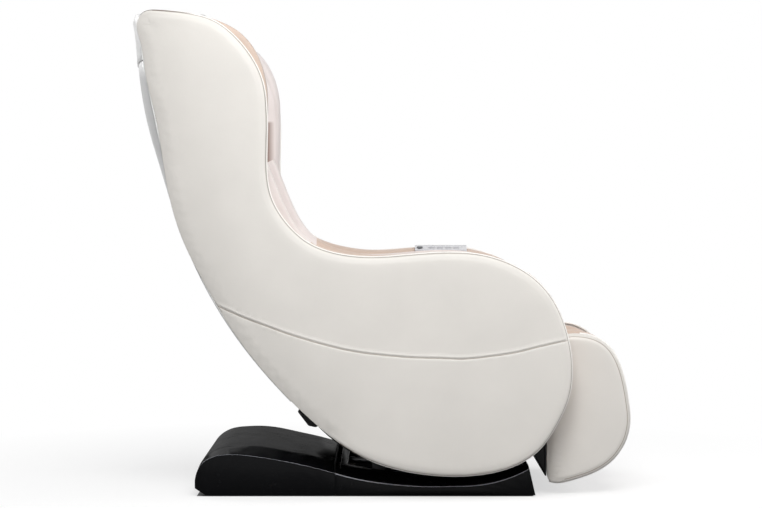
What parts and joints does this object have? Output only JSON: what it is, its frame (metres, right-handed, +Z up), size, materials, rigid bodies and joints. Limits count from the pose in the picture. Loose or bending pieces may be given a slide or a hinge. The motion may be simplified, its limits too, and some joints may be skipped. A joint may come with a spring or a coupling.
{
  "type": "massage chair",
  "caption": "Reclining massage chair with curved side bodies, a padded back and seat, a leg rest with two troughs, and a low black cradle base.",
  "frame": {"origin": "on the floor, at the middle of the overall length and width", "axes": "+X to the front, where the sitter's legs go; +Y to the chair's left side; +Z up"},
  "size_m": [1.1523, 0.7, 1.0938],
  "materials": {
    "pearl_fabric": "soft pearl upholstery with fine grain",
    "piping_fabric": "sewn cord seam",
    "band_leather": "tan upholstery, fine grain",
    "pad_leather": "pale pink-white upholstery",
    "wall_lining": "lining fabric",
    "shell_plastic": "pale grey moulding",
    "cap_plastic": "pale grey moulding",
    "black_plastic": "satin black",
    "steel": "black powder coat",
    "shaft_steel": "ground steel",
    "roller_rubber": "matt rubber",
    "arm_plastic": "moulded nylon",
    "motor_housing": "moulded housing",
    "electric_case": "moulded box",
    "air_cell": "coated sheet",
    "plywood": "raw plywood",
    "panel_silver": "silver lacquer",
    "button_dark": "dark satin"
  },
  "bodies": {
    "base": {"base_rear_hood": "black_plastic", "base_front_deck": "black_plastic", "base_frame": "steel", "foot_pads": "roller_rubber", "recline_actuator": "motor_housing"},
    "chair_body": {"left_side_panel": "pearl_fabric", "right_side_panel": "pearl_fabric", "edge_piping": "piping_fabric", "left_edge_band": "band_leather", "right_edge_band": "band_leather", "plywood_frames": "plywood", "inner_walls": "wall_lining", "side_bolsters": "pad_leather", "back_shell": "shell_plastic", "back_vent": "black_plastic", "top_cap": "cap_plastic", "back_cushion": "pad_leather", "massage_track": "steel", "seat_cushion": "pad_leather", "seat_board": "plywood", "seat_frame": "steel", "cradle_pan": "steel", "cradle_rails": "steel", "underside_covers": "black_plastic", "electric_boxes": "electric_case", "air_pump_and_valves": "motor_housing", "side_airbags": "air_cell", "leg_actuator": "motor_housing", "power_plate": "black_plastic", "control_panel": "panel_silver"},
    "rear_cradle_roller_shaft": {"rear_cradle_rollers": "shaft_steel"},
    "front_cradle_roller_shaft": {"front_cradle_rollers": "shaft_steel"},
    "transport_wheel_set": {"transport_wheels": "roller_rubber"},
    "recline_pull_rod": {"recline_rod": "shaft_steel"},
    "massage_carriage": {"carriage_frame": "steel", "carriage_gearmotors": "motor_housing"},
    "upper_guide_wheels": {"upper_guide_axle": "shaft_steel"},
    "lower_guide_wheels": {"lower_guide_axle": "shaft_steel"},
    "kneading_shaft": {"knead_shaft": "shaft_steel"},
    "right_arm": {"right_massage_arm": "arm_plastic"},
    "left_arm": {"left_massage_arm": "arm_plastic"},
    "right_upper_head": {"right_upper_roller": "roller_rubber"},
    "right_lower_head": {"right_lower_roller": "roller_rubber"},
    "left_upper_head": {"left_upper_roller": "roller_rubber"},
    "left_lower_head": {"left_lower_roller": "roller_rubber"},
    "leg_rest": {"leg_side_panels": "pearl_fabric", "leg_piping": "piping_fabric", "leg_walls": "band_leather", "leg_divider": "band_leather", "leg_frame": "steel", "leg_rear_cover": "black_plastic", "leg_trough_pads": "pad_leather"},
    "leg_pull_rod": {"leg_rod": "shaft_steel"},
    "power_switch": {"power_rocker": "black_plastic"},
    "round_button": {"power_button": "button_dark"},
    "key_1": {"function_key_1": "button_dark"},
    "key_2": {"function_key_2": "button_dark"},
    "key_3": {"function_key_3": "button_dark"},
    "key_4": {"function_key_4": "button_dark"}
  },
  "joints": [
    {"name": "recline", "type": "hinge", "parent": "base", "child": "chair_body", "pos_m": [0.11, 0, 0.395], "axis": [0, -1, 0], "range_deg": [0, 22]},
    {"name": "rear_cradle_roller_spin", "type": "hinge", "parent": "base", "child": "rear_cradle_roller_shaft", "pos_m": [-0.00492, 0, 0.07926], "axis": [0, -1, 0], "continuous": true},
    {"name": "front_cradle_roller_spin", "type": "hinge", "parent": "base", "child": "front_cradle_roller_shaft", "pos_m": [0.22492, 0, 0.07926], "axis": [0, -1, 0], "continuous": true},
    {"name": "transport_wheel_spin", "type": "hinge", "parent": "base", "child": "transport_wheel_set", "pos_m": [-0.394, 0, 0.024], "axis": [0, -1, 0], "continuous": true},
    {"name": "recline_rod_slide", "type": "slide", "parent": "base", "child": "recline_pull_rod", "axis": [1, 0, 0], "range_m": [0, 0.1345]},
    {"name": "carriage_travel", "type": "hinge", "parent": "chair_body", "child": "massage_carriage", "pos_m": [0.75, 0, 1.09], "axis": [0, -1, 0], "range_deg": [0, 21]},
    {"name": "upper_guide_spin", "type": "hinge", "parent": "massage_carriage", "child": "upper_guide_wheels", "pos_m": [-0.52142, 0, 0.982], "axis": [0, -1, 0], "continuous": true},
    {"name": "lower_guide_spin", "type": "hinge", "parent": "massage_carriage", "child": "lower_guide_wheels", "pos_m": [-0.50194, 0, 0.84336], "axis": [0, -1, 0], "continuous": true},
    {"name": "knead_shaft_spin", "type": "hinge", "parent": "massage_carriage", "child": "kneading_shaft", "pos_m": [-0.49279, 0, 0.91534], "axis": [0, -1, 0], "continuous": true},
    {"name": "right_arm_rock", "type": "hinge", "parent": "massage_carriage", "child": "right_arm", "pos_m": [-0.49279, 0, 0.91534], "axis": [0, -1, 0], "range_deg": [-8, 8]},
    {"name": "left_arm_rock", "type": "hinge", "parent": "massage_carriage", "child": "left_arm", "pos_m": [-0.49279, 0, 0.91534], "axis": [0, -1, 0], "range_deg": [-8, 8]},
    {"name": "right_upper_roller_spin", "type": "hinge", "parent": "right_arm", "child": "right_upper_head", "pos_m": [-0.45689, 0, 0.96886], "axis": [0, -1, 0], "continuous": true},
    {"name": "right_lower_roller_spin", "type": "hinge", "parent": "right_arm", "child": "right_lower_head", "pos_m": [-0.44352, 0, 0.87379], "axis": [0, -1, 0], "continuous": true},
    {"name": "left_upper_roller_spin", "type": "hinge", "parent": "left_arm", "child": "left_upper_head", "pos_m": [-0.45689, 0, 0.96886], "axis": [0, -1, 0], "continuous": true},
    {"name": "left_lower_roller_spin", "type": "hinge", "parent": "left_arm", "child": "left_lower_head", "pos_m": [-0.44352, 0, 0.87379], "axis": [0, -1, 0], "continuous": true},
    {"name": "legrest_lift", "type": "hinge", "parent": "chair_body", "child": "leg_rest", "pos_m": [0.392, 0, 0.338], "axis": [0, -1, 0], "range_deg": [0, 80]},
    {"name": "leg_rod_slide", "type": "slide", "parent": "chair_body", "child": "leg_pull_rod", "axis": [1, 0, 0], "range_m": [0, 0.1115]},
    {"name": "power_switch_rock", "type": "hinge", "parent": "chair_body", "child": "power_switch", "pos_m": [-0.32063, 0, 0.34034], "axis": [0, -1, 0], "range_deg": [-4, 4]},
    {"name": "power_button_press", "type": "slide", "parent": "chair_body", "child": "round_button", "axis": [0, 0.2924, -0.9563], "range_m": [0, 0.0014], "stiffness_N_per_m": 900},
    {"name": "function_key_1_press", "type": "slide", "parent": "chair_body", "child": "key_1", "axis": [0, 0.2924, -0.9563], "range_m": [0, 0.001], "stiffness_N_per_m": 900},
    {"name": "function_key_2_press", "type": "slide", "parent": "chair_body", "child": "key_2", "axis": [0, 0.2924, -0.9563], "range_m": [0, 0.001], "stiffness_N_per_m": 900},
    {"name": "function_key_3_press", "type": "slide", "parent": "chair_body", "child": "key_3", "axis": [0, 0.2924, -0.9563], "range_m": [0, 0.001], "stiffness_N_per_m": 900},
    {"name": "function_key_4_press", "type": "slide", "parent": "chair_body", "child": "key_4", "axis": [0, 0.2924, -0.9563], "range_m": [0, 0.001], "stiffness_N_per_m": 900}
  ],
  "couplings": [
    {"joint": "rear_cradle_roller_spin", "follows": "recline", "ratio": -22.98},
    {"joint": "front_cradle_roller_spin", "follows": "recline", "ratio": -22.98},
    {"joint": "recline_rod_slide", "follows": "recline", "m_per_rad": 0.3493},
    {"joint": "upper_guide_spin", "follows": "carriage_travel", "ratio": -107.36},
    {"joint": "lower_guide_spin", "follows": "carriage_travel", "ratio": -107.36},
    {"joint": "leg_rod_slide", "follows": "legrest_lift", "m_per_rad": 0.0798}
  ]
}
